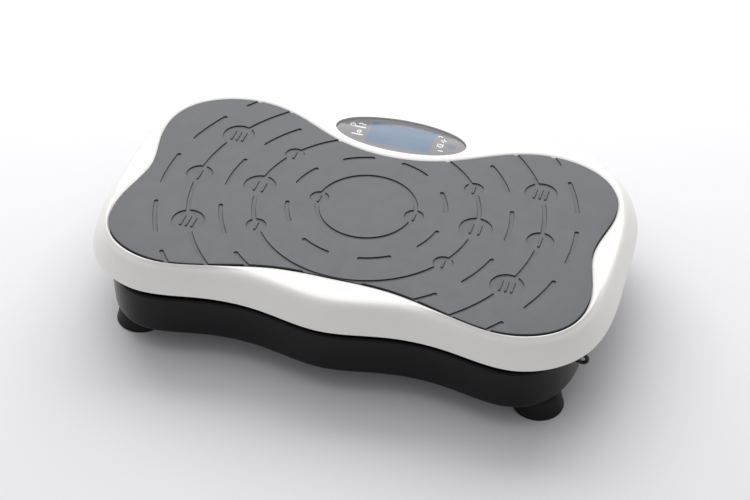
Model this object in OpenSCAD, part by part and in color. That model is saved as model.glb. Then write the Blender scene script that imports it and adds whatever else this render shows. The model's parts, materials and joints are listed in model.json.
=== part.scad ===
// Oscillating vibration plate. Millimetres, +X to the right, +Y to the back, +Z up.
// The origin is on the floor, under the middle of the white shell's footprint.

/* [Heights] */
// Height of the standing mat's top above the floor
mat_top_z = 145; // [143:1:147]
// Height of the lower edge of the white skirt
skirt_z = 105.4; // [104:0.2:107]
// Height of the underside of the black base shell
base_bottom_z = 37; // [36:0.5:38]

/* [Standing mat] */
// Thickness of the rubber mat
mat_t = 6; // [5:0.5:7]
// Radius of the outer groove ring
ring_r = 225; // [222:0.5:228]
// Width of each moulded groove
groove_w = 5.4; // [4:0.2:7]
// Depth of the grooves and dishes
groove_d = 2; // [1:0.1:3]

/* [Console] */
// Width of the oval display lens
lens_w = 178.6; // [170:0.2:182]
// Depth of the oval display lens, front to back
lens_h = 69.4; // [64:0.2:72]

/* [Suction feet] */
// Radius of the lip of each suction foot
foot_r = 32.5; // [30:0.5:34]
// Distance of each foot from the middle, left and right
foot_x = 262; // [258:1:264]
// Distance of each foot from the middle, front and back
foot_y = 143; // [140:1:146]

/* [Drive] */
// Throw of each eccentric on the crankshaft
throw = 2; // [1:0.1:2]
// Distance of each connecting rod from the middle
rod_x = 100; // [96:1:102]
// Height of the crankshaft's axis
crank_z = 73; // [72.5:0.5:74]
// Height of the fulcrum and of the rod pins
pin_z = 112; // [111.5:0.5:112.5]

/* [Hidden] */
$fn = 64;

small = 0.01;                       // overlap that keeps a cut clean
ring_y = -12;                       // middle of the groove rings
outline_n = 96;                     // points round each outline

// Control points of the outlines' right halves, from front middle to back middle, measured
// from the middle of the groove rings. The left half is their mirror image.
mat_half = [
  [0, -141], [75, -139], [147, -162], [220, -183], [299, -150], [312, -72], [282, 1],
  [313, 77], [292, 150], [210, 181], [139, 160], [76, 118], [0, 103]
];
crest_half = [
  [0, -190], [77, -166], [150, -163], [232, -191], [303, -152], [322, -67], [323, 7],
  [322, 86], [300, 160], [230, 211], [151, 190], [78, 188], [0, 211]
];
skirt_half = [
  [0, -206], [80, -180], [158, -181], [241, -206], [319, -156], [338, -76], [335, 7],
  [337, 91], [320, 166], [240, 226], [160, 208], [80, 204], [0, 230]
];
base_half = [
  [0, -201], [80, -175], [158, -176], [241, -202], [299, -150], [307, -76], [305, 7],
  [307, 91], [299, 160], [240, 221], [160, 203], [80, 199], [0, 225]
];

// A closed outline from its right half, in the part's own frame
function closed(half) = [
  for (i = [0 : 2 * len(half) - 3])
    let (last = len(half) - 1, k = i <= last ? i : 2 * last - i, side = i <= last ? 1 : -1)
      [side * half[k][0], half[k][1] + ring_y]
];

// Uniform cubic B-spline through n places of a closed list of control points
function spline(c, n) = [
  for (j = [0 : n - 1])
    let (m = len(c), t = j * m / n, i = floor(t), u = t - i, v = 1 - u)
      (v ^ 3 * c[(i + m - 1) % m] + (3 * u ^ 3 - 6 * u ^ 2 + 4) * c[i]
       + (3 * v ^ 3 - 6 * v ^ 2 + 4) * c[(i + 1) % m] + u ^ 3 * c[(i + 2) % m]) / 6
];

// An outline moved outwards along its own normals
function outward(p, d) = [
  for (i = [0 : len(p) - 1])
    let (m = len(p), t = p[(i + 1) % m] - p[(i + m - 1) % m])
      p[i] + d * [t[1], -t[0]] / norm(t)
];

// A stage of the way from one outline to another
function between(a, b, s) = [for (i = [0 : len(a) - 1]) a[i] + s * (b[i] - a[i])];

// A place on the rim: k times the bevel's width out from a, or in from b when k is below 0
function on_rim(a, b, k) = [
  for (i = [0 : len(a) - 1])
    let (d = norm(b[i] - a[i]), w = min(14, d), step = (b[i] - a[i]) / d)
      k < 0 ? b[i] + k * w * step : a[i] + k * w * step
];

function at_z(p, z) = [for (q = p) [q[0], q[1], z]];

mat_line = spline(closed(mat_half), outline_n);
crest_line = spline(closed(crest_half), outline_n);
skirt_line = spline(closed(skirt_half), outline_n);
base_line = spline(closed(base_half), outline_n);

function middle(ring) = [for (p = ring) 1] * ring / len(ring);

// A closed solid through rings of points, from the top ring down, closed at each end by a fan
// of triangles about the ring's middle
module loft(rings) {
  n = len(rings[0]);
  last = len(rings) - 1;
  top = n * (last + 1);
  polyhedron(
    points = concat([for (r = rings) each r], [middle(rings[0]), middle(rings[last])]),
    faces = concat(
      [for (i = [0 : n - 1]) [top, (i + 1) % n, i]],
      [for (k = [0 : last - 1], i = [0 : n - 1]) [k * n + i, k * n + (i + 1) % n, (k + 1) * n + i]],
      [for (k = [0 : last - 1], i = [0 : n - 1])
        [k * n + (i + 1) % n, (k + 1) * n + (i + 1) % n, (k + 1) * n + i]],
      [for (i = [0 : n - 1]) [top + 1, last * n + i, last * n + (i + 1) % n]]
    ),
    convexity = 8
  );
}

// Cylinders along X and Y, centred on their middle
module rod_along_x(r, l, x, y, z) { translate([x - l / 2, y, z]) rotate([0, 90, 0]) cylinder(r = r, h = l); }
module rod_along_y(r, l, x, y, z) { translate([x, y + l / 2, z]) rotate([90, 0, 0]) cylinder(r = r, h = l); }
module post(r, z0, z1, x, y) { translate([x, y, z0]) cylinder(r = r, h = z1 - z0); }
module block(x0, x1, y0, y1, z0, z1) { translate([x0, y0, z0]) cube([x1 - x0, y1 - y0, z1 - z0]); }
module hex(af, z0, z1, x, y) { translate([x, y, z0]) cylinder(r = af / sqrt(3), h = z1 - z0, $fn = 6); }

// ---- derived sizes -------------------------------------------------------------------------
deck_z = mat_top_z - mat_t;         // floor of the mat's recess
deck_under_z = deck_z - 3;          // underside of the white shell's deck
rim_z = mat_top_z - 0.4;            // highest line of the rim
ledge_z = mat_top_z - 2.8;          // ledge beside the mat
crease_z = mat_top_z - 3.6;         // where the rim turns down into the skirt
wall = 2.6;                         // plastic wall

console_y = 156.4 + ring_y;         // middle of the oval lens
lens_top_z = mat_top_z - 2.6;
lens_t = 3;
lcd_w = 88;
lcd_h = 46;

plate_top_z = deck_under_z - 2;     // steel platform
plate_t = 3;
plate_z = plate_top_z - plate_t;
rib_h = 18;

floor_z = base_bottom_z + 3;        // inside floor of the base shell
steel_z = floor_z + 3;              // top of the steel base plate
shoulder_z = 96;                    // ledge of the base under the skirt
collar_z = 114;                     // top of the base's inner collar

fulcrum_l = 244;
block_y = 112;
pillow_x = 125;
shaft_r = 7.5;
run_gap = 0.04;                     // radial clearance of a running fit
press_gap = 0.02;                   // radial gap of a seat within one body
cam_r = 10;
rod_ring_r = 27;
pin_r = 4;
rod_bush_r = 8.7;                   // inside of the rod's rubber bush: the open pivot
pulley_x = 165;
crank_pulley_r = 27;
motor_pulley_r = 9;
motor_x = 93;
motor_y = ring_y + 85;
motor_z = 75.5;
motor_r = 30;

// ---- standing mat --------------------------------------------------------------------------
// Dishes: radius of ring, angle, dish radius, number of ribs, rib pitch
dishes = [
  [0.278, 0, 12.4, 1, 0], [0.634, 0, 21, 2, 10.9], [0.634, 32, 12.6, 1, 0],
  [0.634, -32, 12.6, 1, 0], [1, 0, 17.3, 1, 0], [1, 24.3, 21, 3, 7.4], [1, -24.3, 21, 3, 7.4]
];
// Dashes: radius of ring, angle of the middle, angle spanned
dashes = concat(
  [for (k = [0 : 3]) [0.447, -67.5 + 45 * k, 21]],
  [for (a = [-55, -25, 5.5, 35.7]) [0.818, a, 17]],
  [for (k = [-2 : 2]) [1.185, 21.4 * k, 12.8]]
);

// Outline of a dash: two arcs with a half round at each end
function dash_outline(r, mid, span) = let (w = groove_w / 2, e = span / 2) concat(
  [for (i = [0 : 8]) let (a = mid - e + i * span / 8) (r + w) * [cos(a), sin(a)]],
  [for (i = [1 : 6]) let (a = mid + e)
    r * [cos(a), sin(a)] + w * [cos(a + i * 180 / 7), sin(a + i * 180 / 7)]],
  [for (i = [8 : -1 : 0]) let (a = mid - e + i * span / 8) (r - w) * [cos(a), sin(a)]],
  [for (i = [1 : 6]) let (a = mid - e)
    r * [cos(a), sin(a)] - w * [cos(a + i * 180 / 7), sin(a + i * 180 / 7)]]
);

module deck_mat() {
  color("#7f8084") {
    difference() {
      translate([0, 0, deck_z]) linear_extrude(mat_t) polygon(mat_line);
      translate([0, ring_y, mat_top_z - groove_d]) {
        for (k = [0.278, 0.634, 1])
          difference() {
            cylinder(r = k * ring_r + groove_w / 2, h = groove_d + 1);
            translate([0, 0, -1]) cylinder(r = k * ring_r - groove_w / 2, h = groove_d + 3);
          }
        for (d = dashes, side = [0, 1]) mirror([side, 0, 0])
          linear_extrude(groove_d + 1) polygon(dash_outline(d[0] * ring_r, d[1], d[2]));
        for (d = dishes, side = [-1, 1])
          translate([side * d[0] * ring_r * cos(d[1]), d[0] * ring_r * sin(d[1]), 0])
            cylinder(r = d[2], h = groove_d + 1);
      }
    }
    for (d = dishes, side = [-1, 1], k = [1 : d[3]])
      translate([side * d[0] * ring_r * cos(d[1]) + (k - (d[3] + 1) / 2) * d[4] - 1.5,
                 ring_y + d[0] * ring_r * sin(d[1]) - min(10, 0.62 * d[2]), mat_top_z - groove_d - small])
        cube([3, 2 * min(10, 0.62 * d[2]), groove_d - 0.4]);
  }
}

// ---- white top shell -----------------------------------------------------------------------
// Shape of the skirt: fraction of the height down, fraction of the way out
skirt_shape = [[0.1, 0.22], [0.28, 0.46], [0.5, 0.67], [0.75, 0.86], [1, 1]];
function skirt_level(h) = crease_z - h * (crease_z - skirt_z);

module oval(w, h) { polygon([for (i = [0 : 79]) [w / 2 * cos(4.5 * i), h / 2 * sin(4.5 * i)]]); }

module top_shell() {
  ledge_line = outward(mat_line, 1);
  outer = [
    at_z(ledge_line, deck_z),
    at_z(ledge_line, ledge_z),
    at_z(on_rim(ledge_line, crest_line, 0.25), rim_z - 0.7),
    at_z(on_rim(ledge_line, crest_line, 0.55), rim_z),
    at_z(on_rim(ledge_line, crest_line, -0.3), rim_z - 1),
    at_z(crest_line, crease_z),
    for (s = skirt_shape) at_z(between(crest_line, skirt_line, s[1]), skirt_level(s[0]))
  ];
  inner = [
    for (i = [len(skirt_shape) - 1 : -1 : 1])
      at_z(outward(between(crest_line, skirt_line, skirt_shape[i][1]), -wall),
           skirt_level(skirt_shape[i][0])),
    at_z(outward(crest_line, -wall - 1.5), deck_under_z)
  ];
  color("#f4f4f2") {
    difference() {
      loft(concat(outer, inner));
      translate([0, console_y, lens_top_z - lens_t]) linear_extrude(20) oval(lens_w + 0.6, lens_h + 0.6);
      block(-lcd_w / 2 - 2, lcd_w / 2 + 2, console_y - lcd_h / 2 - 2, console_y + lcd_h / 2 + 2, 130, 141);
      block(62, 78, console_y - 8, console_y + 8, 130, 141);
      for (x = [-240, -150, 150, 240], y = [-80, 60]) post(2.1, 130, deck_z - 1, x, y);
      for (x = [-80, 80], y = [-14, 14]) post(1.3, 130, deck_z - 1, x, console_y + y);
    }
    for (x = [-240, -150, 150, 240], y = [-80, 60])
      difference() {
        post(8, plate_top_z, deck_under_z + small, x, y);
        post(2.1, 130, 140, x, y);
      }
    for (x = [-80, 80], y = [-14, 14])
      difference() {
        post(4, 131.4, deck_under_z + small, x, console_y + y);
        post(1.3, 130, 140, x, console_y + y);
      }
  }
}

// ---- console -------------------------------------------------------------------------------
module console_lens() {
  color("#8c8d92") translate([0, console_y, lens_top_z - lens_t]) linear_extrude(lens_t) oval(lens_w, lens_h);
}

module lcd_module() {
  color("#8ea6c8") {
    block(-lcd_w / 2, lcd_w / 2, console_y - lcd_h / 2, console_y + lcd_h / 2, 135, lens_top_z - lens_t - 0.2);
    block(-lcd_w / 2, lcd_w / 2, console_y - lcd_h / 2, console_y + lcd_h / 2, 131.4, 135 + small);
  }
}

module display_board() {
  color("#2f6b46") difference() {
    block(-86, 86, console_y - 25, console_y + 25, 129.8, 131.4);
    for (x = [-80, 80], y = [-14, 14]) post(1.4, 125, 135, x, console_y + y);
  }
}

module ir_receiver() {
  color("#26262b") {
    block(66, 74, console_y - 4, console_y + 4, 131.4, 137);
    rod_along_y(3, 5, 70, console_y, 136);
  }
}

// ---- moving platform -----------------------------------------------------------------------
module platform_plate() {
  color("#8b9096") difference() {
    union() {
      block(-270, 270, -117, 78, plate_z, plate_top_z);
      block(-255, 255, -130, 90, plate_z, plate_top_z);
    }
    for (x = [-240, -150, 150, 240], y = [-80, 60]) post(2.3, 120, 140, x, y);
  }
}

// Two lengths of channel, left and right of the fulcrum
module rib(y) {
  color("#8b9096") for (side = [0, 1]) mirror([side, 0, 0])
    difference() {
      block(18, 262, y - 8, y + 8, plate_z - rib_h, plate_z);
      block(10, 270, y - 5.5, y + 5.5, plate_z - rib_h - 1, plate_z - 2.5);
    }
}
module rib_front() { rib(ring_y - 40); }
module rib_rear() { rib(ring_y + 40); }

module fulcrum_sleeve() {
  color("#75797f") difference() {
    union() {
      rod_along_y(14, 192, 0, ring_y, pin_z);
      block(-11, 11, ring_y - 90, ring_y + 90, pin_z, plate_z);
    }
    rod_along_y(10 + press_gap, 300, 0, ring_y, pin_z);
  }
}

module fulcrum_bushes() {
  color("#b08d57") for (side = [-1, 1])
    difference() {
      rod_along_y(10, 22, 0, ring_y + side * 84, pin_z);
      rod_along_y(8 + run_gap, 30, 0, ring_y + side * 84, pin_z);
    }
}

module rod_bracket(x) {
  color("#75797f") {
    block(x - 16, x + 16, ring_y - 20, ring_y + 20, plate_z - 2.5, plate_z);
    for (s = [-1, 1])
      difference() {
        union() {
          rod_along_x(9, 4, x + s * 10.5, ring_y, pin_z);
          block(x + s * 10.5 - 2, x + s * 10.5 + 2, ring_y - 9, ring_y + 9, pin_z, plate_z - 2);
        }
        rod_along_x(pin_r + press_gap, 10, x + s * 10.5, ring_y, pin_z);
      }
  }
}
module rod_brackets() { for (x = [-rod_x, rod_x]) rod_bracket(x); }

module rod_pins() {
  color("#c9ccd0") for (x = [-rod_x, rod_x]) {
    rod_along_x(pin_r, 28, x, ring_y, pin_z);
    rod_along_x(6.5, 2.5, x - 14.5, ring_y, pin_z);
    rod_along_x(5.5, 1.2, x + 14.6, ring_y, pin_z);
  }
}

module deck_screws() {
  color("#c9ccd0") for (x = [-240, -150, 150, 240], y = [-80, 60]) {
    post(2, plate_z - 1, deck_z - 1.5, x, y);
    post(4.5, plate_z - 3, plate_z, x, y);
  }
  color("#c9ccd0") for (x = [-80, 80], y = [-14, 14]) {
    post(1.2, 129, 138, x, console_y + y);
    post(2.6, 127.8, 129.8, x, console_y + y);
  }
}

// ---- base ----------------------------------------------------------------------------------
foot_places = [[-foot_x, -foot_y], [foot_x, -foot_y], [-foot_x, foot_y], [foot_x, foot_y]];
plate_screws = [for (x = [-265, -60, 60, 265], y = [-95, 95]) [x, y]];
panel_w = 72;
panel_z = [50, 88];
rocker_y = 199;                     // the rocker's pivot
rocker_z = 69;
rocker_tilt = 10;
eyelet_x = 307.2;                   // middle of the right band eyelet's ring
eyelet_y = -115;
eyelet_z = 62;
eyelet_r = 8.6;
eyelet_hole_r = 3.6;
eyelet_w = 4.5;
shank_r = 3.2;

module base_shell() {
  line = function(d, z) at_z(outward(base_line, -d), z);
  color("#1c1d1f") {
    difference() {
      loft([
        line(7.9, floor_z), line(6, floor_z + 2), line(3.6, shoulder_z - 5),
        line(11, shoulder_z - 2.4), line(11, collar_z), line(8.4, collar_z),
        line(8.4, shoulder_z + 0.6), line(3.4, shoulder_z), line(0.9, shoulder_z - 1.5),
        line(0, shoulder_z - 5), line(1.4, base_bottom_z + 3), line(3.5, base_bottom_z)
      ]);
      for (f = foot_places) post(4.3, 30, 60, f[0], f[1]);
      for (s = plate_screws) post(2.7, 30, 60, s[0], s[1]);
      block(-panel_w / 2 - 0.2, panel_w / 2 + 0.2, 190, 215, panel_z[0] - 0.2, panel_z[1] + 0.2);
      for (side = [-1, 1]) {
        rod_along_x(shank_r + 0.05, 40, side * 296, eyelet_y, eyelet_z);
        rod_along_y(eyelet_r + 0.4, eyelet_w + 0.8, side * eyelet_x, eyelet_y, eyelet_z);
      }
    }
    for (f = foot_places)
      difference() {
        post(14, floor_z - small, steel_z, f[0], f[1]);
        post(4.3, 30, 60, f[0], f[1]);
      }
  }
}

module base_plate() {
  color("#6e7277") difference() {
    union() {
      block(-280, 280, -112, 112, floor_z, steel_z);
      block(-240, 240, -140, 140, floor_z, steel_z);
    }
    for (s = plate_screws) post(2.7, 30, 60, s[0], s[1]);
    for (f = foot_places) post(19, 30, 60, f[0], f[1]);
    for (x = [-pillow_x, pillow_x], y = [-38, 38]) post(4.02, 30, 60, x, ring_y + y);
    for (x = [-26, 26], y = [-block_y, block_y]) post(4.02, 30, 60, x, ring_y + y);
  }
}

module foot(f) {
  color("#101113") translate([f[0], f[1], 0]) difference() {
    rotate_extrude() polygon([
      [0, 8], [16, 6], [24, 2.5], [foot_r - 5, 0], [foot_r - 1.6, 0], [foot_r, 0.4], [foot_r, 2], [foot_r - 1.2, 5],
      [foot_r - 3.2, 13], [foot_r - 5.5, 21], [foot_r - 10, 27], [foot_r - 15, 30.5],
      [16, 33], [16, base_bottom_z - 0.3], [0, base_bottom_z - 0.3]
    ]);
    translate([0, 0, 16]) cylinder(r = 4 + press_gap, h = 40);
  }
}
module foot_front_left() { foot(foot_places[0]); }
module foot_front_right() { foot(foot_places[1]); }
module foot_rear_left() { foot(foot_places[2]); }
module foot_rear_right() { foot(foot_places[3]); }

module foot_studs() { color("#c9ccd0") for (f = foot_places) post(4, 16, 54, f[0], f[1]); }

module foot_nuts() {
  color("#c9ccd0") for (f = foot_places) difference() {
    hex(13, steel_z, steel_z + 6.5, f[0], f[1]);
    post(4 + press_gap, 30, 60, f[0], f[1]);
  }
}

module base_screws() {
  color("#c9ccd0") for (s = plate_screws) {
    post(2.5, base_bottom_z - small, 50, s[0], s[1]);
    post(5, base_bottom_z - 2.8, base_bottom_z, s[0], s[1]);
  }
}

module base_nuts() {
  color("#c9ccd0") for (s = plate_screws) difference() {
    hex(8, steel_z, steel_z + 4, s[0], s[1]);
    post(2.5 + press_gap, 30, 60, s[0], s[1]);
  }
}

// ---- fulcrum -------------------------------------------------------------------------------
module fulcrum_shaft() {
  color("#c9ccd0") rod_along_y(8, fulcrum_l, 0, ring_y, pin_z);
}

module pivot_block(y) {
  color("#5d6166") difference() {
    union() {
      block(-16, 16, y - 9, y + 9, steel_z, pin_z);
      block(-36, 36, y - 9, y + 9, steel_z, steel_z + 9);
      rod_along_y(16, 18, 0, y, pin_z);
    }
    rod_along_y(8 + press_gap, 30, 0, y, pin_z);
    for (x = [-26, 26]) post(4.3, 30, 60, x, y);
  }
}
module pivot_block_front() { pivot_block(ring_y - block_y); }
module pivot_block_rear() { pivot_block(ring_y + block_y); }

module hex_bolt(x, y, seat_z) {
  post(4, floor_z + 0.2, seat_z + small, x, y);
  hex(13, seat_z, seat_z + 5.3, x, y);
}

// ---- crankshaft ----------------------------------------------------------------------------
module pillow_block(x) {
  color("#46606e") difference() {
    union() {
      rod_along_x(25, 24, x, ring_y, crank_z);
      block(x - 12, x + 12, ring_y - 25, ring_y + 25, steel_z, crank_z);
      block(x - 12, x + 12, ring_y - 50, ring_y + 50, steel_z, steel_z + 10);
    }
    rod_along_x(20 + press_gap, 40, x, ring_y, crank_z);
    for (y = [-38, 38]) post(4.3, 30, 60, x, ring_y + y);
  }
}
module pillow_block_left() { pillow_block(-pillow_x); }
module pillow_block_right() { pillow_block(pillow_x); }
module drive_bolts() {
  color("#c9ccd0") {
    for (x = [-26, 26], y = [-block_y, block_y]) hex_bolt(x, ring_y + y, steel_z + 9);
    for (x = [-pillow_x, pillow_x], y = [-38, 38]) hex_bolt(x, ring_y + y, steel_z + 10);
  }
}

module bearing(x, y, z, r_in, r_out, w) {
  color("#d5d8dc") difference() {
    rod_along_x(r_out, w, x, y, z);
    rod_along_x(r_in, w + 2, x, y, z);
    for (s = [-1, 1]) difference() {
      rod_along_x(r_out - (r_out - r_in) * 0.25, 2, x + s * w / 2, y, z);
      rod_along_x(r_in + (r_out - r_in) * 0.25, 3, x + s * w / 2, y, z);
    }
  }
}
module crank_bearings() {
  for (x = [-pillow_x, pillow_x]) bearing(x, ring_y, crank_z, shaft_r + run_gap, 20, 14);
}

// The eccentrics point forwards on the left and backwards on the right when the deck is level
function cam_y(side) = ring_y + side * throw;

module crankshaft() {
  color("#c9ccd0") {
    rod_along_x(shaft_r, 318, 15, ring_y, crank_z);
    rod_along_x(9, 184, 0, ring_y, crank_z);
    for (side = [-1, 1]) rod_along_x(cam_r, 14, side * rod_x, cam_y(side), crank_z);
  }
}

module pulley(r, bore, y, z, web) {
  color("#3a3b3e") difference() {
    union() {
      rod_along_x(r, 12, pulley_x, y, z);
      rod_along_x(r + 1.5, 1.5, pulley_x - 6.75, y, z);
      rod_along_x(r + 1.5, 1.5, pulley_x + 6.75, y, z);
    }
    rod_along_x(bore, 40, pulley_x, y, z);
    if (web > 0) for (a = [0 : 60 : 300])
      rod_along_x(4, 40, pulley_x, y + web * cos(a), z + web * sin(a));
  }
}
module crank_pulley() { pulley(crank_pulley_r, shaft_r + press_gap, ring_y, crank_z, 16.5); }
module motor_pulley() { pulley(motor_pulley_r, 4 + press_gap, motor_y, motor_z, 0); }

// Loop round two wheels in the YZ plane: the wheels' arcs, joined by their outer tangents
module loop(extra) {
  dy = motor_y - ring_y;
  dz = motor_z - crank_z;
  lean = atan2(dz, dy);
  open = acos((crank_pulley_r - motor_pulley_r) / norm([dy, dz]));
  polygon(concat(
    [for (i = [0 : 24]) let (a = lean + open + i * (360 - 2 * open) / 24)
      [crank_pulley_r + extra, 0] * [[cos(a), sin(a)], [0, 0]] + [ring_y, crank_z]],
    [for (i = [0 : 12]) let (a = lean - open + i * 2 * open / 12)
      [motor_pulley_r + extra, 0] * [[cos(a), sin(a)], [0, 0]] + [motor_y, motor_z]]
  ));
}

module drive_belt() {
  color("#17171a") translate([pulley_x - 5, 0, 0]) rotate([90, 0, 90]) linear_extrude(10)
    difference() { loop(2.9); loop(0.5); }
}

// ---- connecting rods -----------------------------------------------------------------------
module rod(side) {
  color("#9aa0a6") difference() {
    union() {
      rod_along_x(rod_ring_r, 12, side * rod_x, cam_y(side), crank_z);
      rod_along_x(12, 12, side * rod_x, cam_y(side), pin_z);
      block(side * rod_x - 6, side * rod_x + 6, cam_y(side) - 9, cam_y(side) + 9, crank_z + 23, pin_z - 8);
    }
    rod_along_x(21 + press_gap, 30, side * rod_x, cam_y(side), crank_z);
    rod_along_x(10 + press_gap, 30, side * rod_x, cam_y(side), pin_z);
  }
}
module rod_left() { rod(-1); }
module rod_right() { rod(1); }
module rod_bearing_left() { bearing(-rod_x, cam_y(-1), crank_z, cam_r + run_gap, 21, 12); }
module rod_bearing_right() { bearing(rod_x, cam_y(1), crank_z, cam_r + run_gap, 21, 12); }

module rod_bush(side) {
  color("#202124") difference() {
    rod_along_x(10, 12, side * rod_x, cam_y(side), pin_z);
    rod_along_x(rod_bush_r, 20, side * rod_x, cam_y(side), pin_z);
  }
}
module rod_bush_left() { rod_bush(-1); }
module rod_bush_right() { rod_bush(1); }

// ---- motor ---------------------------------------------------------------------------------
module motor_can() {
  color("#2b2d31") difference() {
    rod_along_x(motor_r, 90, motor_x, motor_y, motor_z);
    rod_along_x(motor_r - 3, 100, motor_x, motor_y, motor_z);
  }
}

module motor_magnets() {
  color("#3d3f44") difference() {
    rod_along_x(motor_r - 3 - press_gap, 56, motor_x, motor_y, motor_z);
    rod_along_x(21.5, 60, motor_x, motor_y, motor_z);
    block(motor_x - 40, motor_x + 40, motor_y - 40, motor_y + 40, motor_z - 6, motor_z + 6);
  }
}

module motor_ends() {
  color("#b9bcc1") for (side = [-1, 1])
    difference() {
      union() {
        rod_along_x(motor_r, 8, motor_x + side * 49, motor_y, motor_z);
        rod_along_x(10, 14, motor_x + side * 49, motor_y, motor_z);
      }
      rod_along_x(4 + run_gap, 40, motor_x + side * 49, motor_y, motor_z);
    }
}

module motor_bracket() {
  color("#6e7277") difference() {
    union() {
      block(motor_x - 42, motor_x + 56, motor_y - 34, motor_y + 34, steel_z, steel_z + 2);
      block(motor_x + 53, motor_x + 56, motor_y - 34, motor_y + 34, steel_z, motor_z + 24);
    }
    rod_along_x(11, 30, motor_x + 55, motor_y, motor_z);
    post(6.5, 40, 50, plate_screws[5][0], plate_screws[5][1]);
  }
}

module motor_strap() {
  color("#8b9096") difference() {
    union() {
      rod_along_x(motor_r + 2.3, 14, motor_x - 25, motor_y, motor_z);
      block(motor_x - 32, motor_x - 18, motor_y - motor_r - 2.3, motor_y + motor_r + 2.3, steel_z + 2, motor_z);
      block(motor_x - 32, motor_x - 18, motor_y - 34, motor_y + 34, steel_z + 2, steel_z + 5);
    }
    rod_along_x(motor_r + 0.1, 20, motor_x - 25, motor_y, motor_z);
    block(motor_x - 40, motor_x - 10, motor_y - motor_r - 0.1, motor_y + motor_r + 0.1, 30, motor_z);
  }
}

module motor_rotor() {
  color("#a8703d") {
    rod_along_x(4, 140, motor_x + 9, motor_y, motor_z);
    difference() {
      rod_along_x(20.5, 54, motor_x, motor_y, motor_z);
      for (a = [0 : 30 : 330])
        rod_along_x(1.6, 60, motor_x, motor_y + 19.6 * cos(a), motor_z + 19.6 * sin(a));
    }
    rod_along_x(9, 12, motor_x - 35, motor_y, motor_z);
  }
}

// ---- electronics ---------------------------------------------------------------------------
board_x = [-272, -160];
board_y = [-62, 38];
board_z = steel_z + 8;
standoffs = [for (x = [-266, -166], y = [-56, 32]) [x, y]];

module control_board() {
  color("#2f6b46") difference() {
    block(board_x[0], board_x[1], board_y[0], board_y[1], board_z, board_z + 1.6);
    for (s = standoffs) post(1.6, 40, 60, s[0], s[1]);
  }
}
module board_standoffs() {
  color("#d9c37a") for (s = standoffs) {
    hex(6, steel_z, board_z, s[0], s[1]);
    post(1.5, board_z - small, board_z + 4, s[0], s[1]);
  }
}
module transformer() {
  color("#b7892f") {
    block(-258, -222, -52, -4, board_z + 1.6, board_z + 34);
    block(-264, -216, -40, -16, board_z + 6, board_z + 28);
  }
}
module heat_sink() {
  color("#b9bcc1") {
    block(-198, -194, -50, 24, board_z + 1.6, board_z + 31);
    for (k = [0 : 8]) block(-194 - small, -180, -48 + 8.5 * k, -46 + 8.5 * k, board_z + 1.6, board_z + 31);
  }
}
module board_parts() {
  color("#33384a") {
    for (y = [8, 26]) post(8, board_z + 1.6, board_z + 27, -240, y);
    block(-222, -203, 4, 19, board_z + 1.6, board_z + 17);
    block(-214, -204, -50, -30, board_z + 1.6, board_z + 12);
    block(-176, -166, -40, -12, board_z + 1.6, board_z + 11);
    block(-176, -166, 4, 22, board_z + 1.6, board_z + 11);
    block(-222, -206, 26, 35, board_z + 1.6, board_z + 9);
  }
}

module rear_panel() {
  color("#1c1d1f") difference() {
    block(-panel_w / 2, panel_w / 2, 192, 204.5, panel_z[0], panel_z[1]);
    block(-33.5, -4.5, 180, 220, 57, 81);
    block(8.8, 29.2, 180, 220, 61.8, 76.2);
  }
}

// Inlet with a keyed cavity and three flat blades
module power_inlet() {
  color("#151618") {
    difference() {
      union() {
        block(-33, -5, 176, 203.5, 57.5, 80.5);
        block(-35.5, -2.5, 204.5, 206.5, 54.5, 83.5);
        block(-33, -5, 203, 205, 57.5, 80.5);
      }
      block(-31, -7, 188, 220, 61, 77);
    }
    for (b = [[-27, 65], [-11, 65], [-19, 71]]) block(b[0] - 1, b[0] + 1, 187, 200, b[1], b[1] + 4);
  }
}

module switch_body() { color("#151618") block(9, 29, 178, 192, 62, 76); }

// Rocker with a shallow vee front, lying at its off stop
module power_rocker() {
  profile = [[-1.5, -6], [6.6, -6], [8.4, -5.3], [6.2, 0], [8.4, 5.3], [6.6, 6], [-1.5, 6]];
  color("#a8251f") {
    translate([9.6, rocker_y, rocker_z]) rotate([-rocker_tilt, 0, 0])
      rotate([90, 0, 90]) linear_extrude(18.8) polygon(profile);
    rod_along_x(1.4, 19.8, 19, rocker_y, rocker_z);
  }
}

module eyelet(side) {
  color("#151618") difference() {
    union() {
      rod_along_y(eyelet_r, eyelet_w, side * eyelet_x, eyelet_y, eyelet_z);
      rod_along_x(shank_r, 16, side * (eyelet_x - 13), eyelet_y, eyelet_z);
    }
    rod_along_y(eyelet_hole_r, 20, side * eyelet_x, eyelet_y, eyelet_z);
  }
}
module eyelets() { for (side = [-1, 1]) eyelet(side); }

// ---- leads ---------------------------------------------------------------------------------
mains_route = [
  [-25, 176, 69], [-26, 166, 66], [-42, 150, 54], [-75, 132, 48], [-115, 112, 48], [-140, 88, 50],
  [-143, 60, 54], [-143, 28, 50], [-146, -2, 51], [-154, -18, 57], [-166, -20, 58]
];
motor_route = [
  [40, 55, 82], [30, 53, 76], [14, 52, 60], [-6, 54, 50], [-40, 58, 47], [-90, 64, 46.5],
  [-132, 66, 46.5], [-150, 52, 47], [-153, 32, 50], [-158, 18, 54.5], [-166, 16, 55]
];
display_route = [
  [-214, 35, 56], [-212, 46, 56], [-200, 72, 51], [-172, 102, 48], [-132, 130, 51], [-108, 146, 74],
  [-98, 149, 104], [-94, 147, 124], [-91, 145, 130], [-86.6, 144.4, 130.6]
];

function unit(v) = v / norm(v);

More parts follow.
